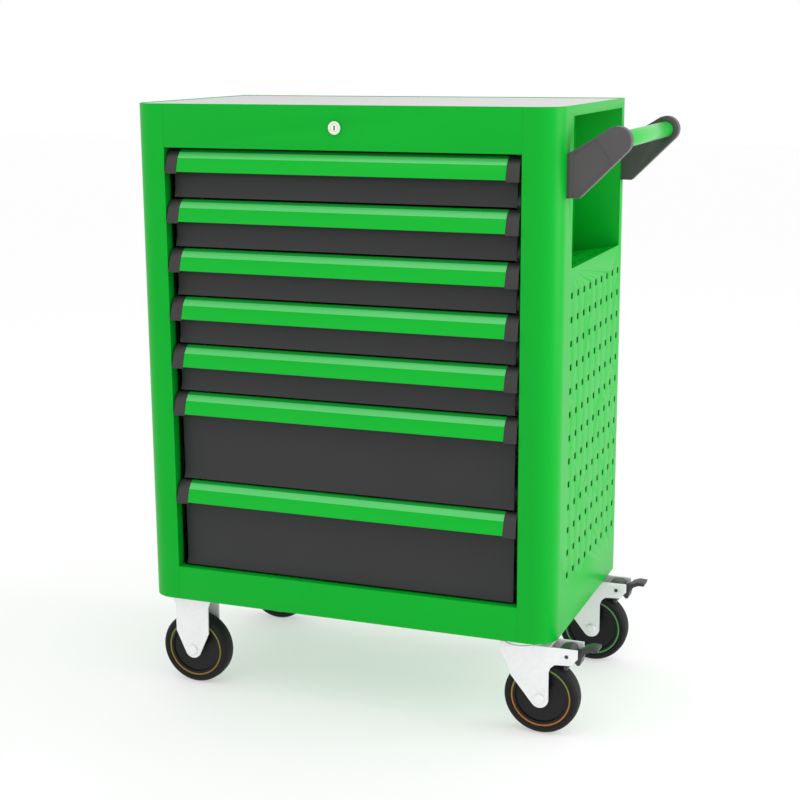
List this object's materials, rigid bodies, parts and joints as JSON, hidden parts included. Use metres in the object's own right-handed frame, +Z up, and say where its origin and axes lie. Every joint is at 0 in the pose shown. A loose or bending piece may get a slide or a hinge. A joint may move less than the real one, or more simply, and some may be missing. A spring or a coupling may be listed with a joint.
{
  "type": "rolling tool chest",
  "caption": "Steel roller cabinet with lockable ball-slide drawers, side bottle niche, perforated side, push handle and casters.",
  "frame": {"origin": "on the floor, below the middle of the whole chest's box, handle and pulls included", "axes": "+Z up, -Y out of the drawer fronts, +X towards the push handle"},
  "size_m": [0.817, 0.418, 1],
  "materials": {
    "green_coat": "satin powder coat",
    "pull_green": "satin coat on aluminium",
    "charcoal_coat": "matt powder coat",
    "black_plastic": "fine grain",
    "bracket_plastic": "fine grain",
    "mat": "smooth",
    "zinc": "bright zinc plated",
    "slide_steel": "zinc plated",
    "lock_chrome": "chrome plated",
    "wheel_core": "smooth",
    "tyre": "matt"
  },
  "bodies": {
    "cabinet": {"left_side_panel": "green_coat", "right_side_panel": "green_coat", "back_panel": "green_coat", "top_panel": "green_coat", "top_mat": "mat", "base_pan": "green_coat", "front_header": "green_coat", "bottom_rail": "green_coat", "side_niche": "green_coat", "niche_shelf": "green_coat", "slide_uprights": "slide_steel", "slide_rails": "slide_steel", "handle_tube": "pull_green", "handle_bracket_front": "bracket_plastic", "handle_bracket_rear": "bracket_plastic", "handle_screws": "zinc", "lock_barrel": "lock_chrome", "lock_bar_guides": "zinc", "caster_bolts": "zinc", "rigid_forks": "zinc", "rigid_axles": "zinc", "swivel_plates": "zinc"},
    "lock_turning": {"lock_plug": "lock_chrome", "lock_shaft": "zinc"},
    "lock_bar_turning": {"lock_bar": "zinc"},
    "rigid_front_rolling": {"rigid_front_wheel": "wheel_core", "rigid_front_tyre": "tyre"},
    "rigid_rear_rolling": {"rigid_rear_wheel": "wheel_core", "rigid_rear_tyre": "tyre"},
    "swivel_front": {"swivel_front_fork": "zinc", "swivel_front_axle": "zinc"},
    "swivel_rear": {"swivel_rear_fork": "zinc", "swivel_rear_axle": "zinc"},
    "swivel_front_rolling": {"swivel_front_wheel": "wheel_core", "swivel_front_tyre": "tyre"},
    "swivel_rear_rolling": {"swivel_rear_wheel": "wheel_core", "swivel_rear_tyre": "tyre"},
    "front_brake": {"brake_pedal_front": "black_plastic"},
    "rear_brake": {"brake_pedal_rear": "black_plastic"},
    "drawer_1": {"drawer_1_tray": "charcoal_coat", "drawer_1_pull": "pull_green", "drawer_1_caps": "black_plastic"},
    "drawer_2": {"drawer_2_tray": "charcoal_coat", "drawer_2_pull": "pull_green", "drawer_2_caps": "black_plastic"},
    "drawer_3": {"drawer_3_tray": "charcoal_coat", "drawer_3_pull": "pull_green", "drawer_3_caps": "black_plastic"},
    "drawer_4": {"drawer_4_tray": "charcoal_coat", "drawer_4_pull": "pull_green", "drawer_4_caps": "black_plastic"},
    "drawer_5": {"drawer_5_tray": "charcoal_coat", "drawer_5_pull": "pull_green", "drawer_5_caps": "black_plastic"},
    "drawer_6": {"drawer_6_tray": "charcoal_coat", "drawer_6_pull": "pull_green", "drawer_6_caps": "black_plastic"},
    "drawer_7": {"drawer_7_tray": "charcoal_coat", "drawer_7_pull": "pull_green", "drawer_7_caps": "black_plastic"}
  },
  "joints": [
    {"name": "drawer_1_slide", "type": "slide", "parent": "cabinet", "child": "drawer_1", "axis": [0, -1, 0], "range_m": [0, 0.26]},
    {"name": "drawer_2_slide", "type": "slide", "parent": "cabinet", "child": "drawer_2", "axis": [0, -1, 0], "range_m": [0, 0.26]},
    {"name": "drawer_3_slide", "type": "slide", "parent": "cabinet", "child": "drawer_3", "axis": [0, -1, 0], "range_m": [0, 0.26]},
    {"name": "drawer_4_slide", "type": "slide", "parent": "cabinet", "child": "drawer_4", "axis": [0, -1, 0], "range_m": [0, 0.26]},
    {"name": "drawer_5_slide", "type": "slide", "parent": "cabinet", "child": "drawer_5", "axis": [0, -1, 0], "range_m": [0, 0.26]},
    {"name": "drawer_6_slide", "type": "slide", "parent": "cabinet", "child": "drawer_6", "axis": [0, -1, 0], "range_m": [0, 0.26]},
    {"name": "drawer_7_slide", "type": "slide", "parent": "cabinet", "child": "drawer_7", "axis": [0, -1, 0], "range_m": [0, 0.26]},
    {"name": "lock_turn", "type": "hinge", "parent": "cabinet", "child": "lock_turning", "pos_m": [-0.0485, -0.204, 0.965], "axis": [0, -1, 0], "range_deg": [0, 90]},
    {"name": "lock_bar_turn", "type": "hinge", "parent": "cabinet", "child": "lock_bar_turning", "pos_m": [-0.0485, 0.195, 0.6], "axis": [0, 0, -1], "range_deg": [0, 44.2]},
    {"name": "rigid_front_spin", "type": "hinge", "parent": "cabinet", "child": "rigid_front_rolling", "pos_m": [-0.3375, -0.166, 0.0625], "axis": [0, 1, 0], "continuous": true},
    {"name": "rigid_rear_spin", "type": "hinge", "parent": "cabinet", "child": "rigid_rear_rolling", "pos_m": [-0.3375, 0.171, 0.0625], "axis": [0, 1, 0], "continuous": true},
    {"name": "swivel_front_turn", "type": "hinge", "parent": "cabinet", "child": "swivel_front", "pos_m": [0.2535, -0.166, 0.15], "axis": [0, 0, 1], "continuous": true},
    {"name": "swivel_front_spin", "type": "hinge", "parent": "swivel_front", "child": "swivel_front_rolling", "pos_m": [0.2875, -0.166, 0.0625], "axis": [0, 1, 0], "continuous": true},
    {"name": "front_brake_press", "type": "hinge", "parent": "swivel_front", "child": "front_brake", "pos_m": [0.3315, -0.166, 0.14], "axis": [0, 1, 0], "range_deg": [0, 18]},
    {"name": "swivel_rear_turn", "type": "hinge", "parent": "cabinet", "child": "swivel_rear", "pos_m": [0.2535, 0.171, 0.15], "axis": [0, 0, 1], "continuous": true},
    {"name": "swivel_rear_spin", "type": "hinge", "parent": "swivel_rear", "child": "swivel_rear_rolling", "pos_m": [0.2875, 0.171, 0.0625], "axis": [0, 1, 0], "continuous": true},
    {"name": "rear_brake_press", "type": "hinge", "parent": "swivel_rear", "child": "rear_brake", "pos_m": [0.3315, 0.171, 0.14], "axis": [0, 1, 0], "range_deg": [0, 18]}
  ],
  "couplings": [
    {"joint": "lock_bar_turn", "follows": "lock_turn", "ratio": 0.48893}
  ]
}
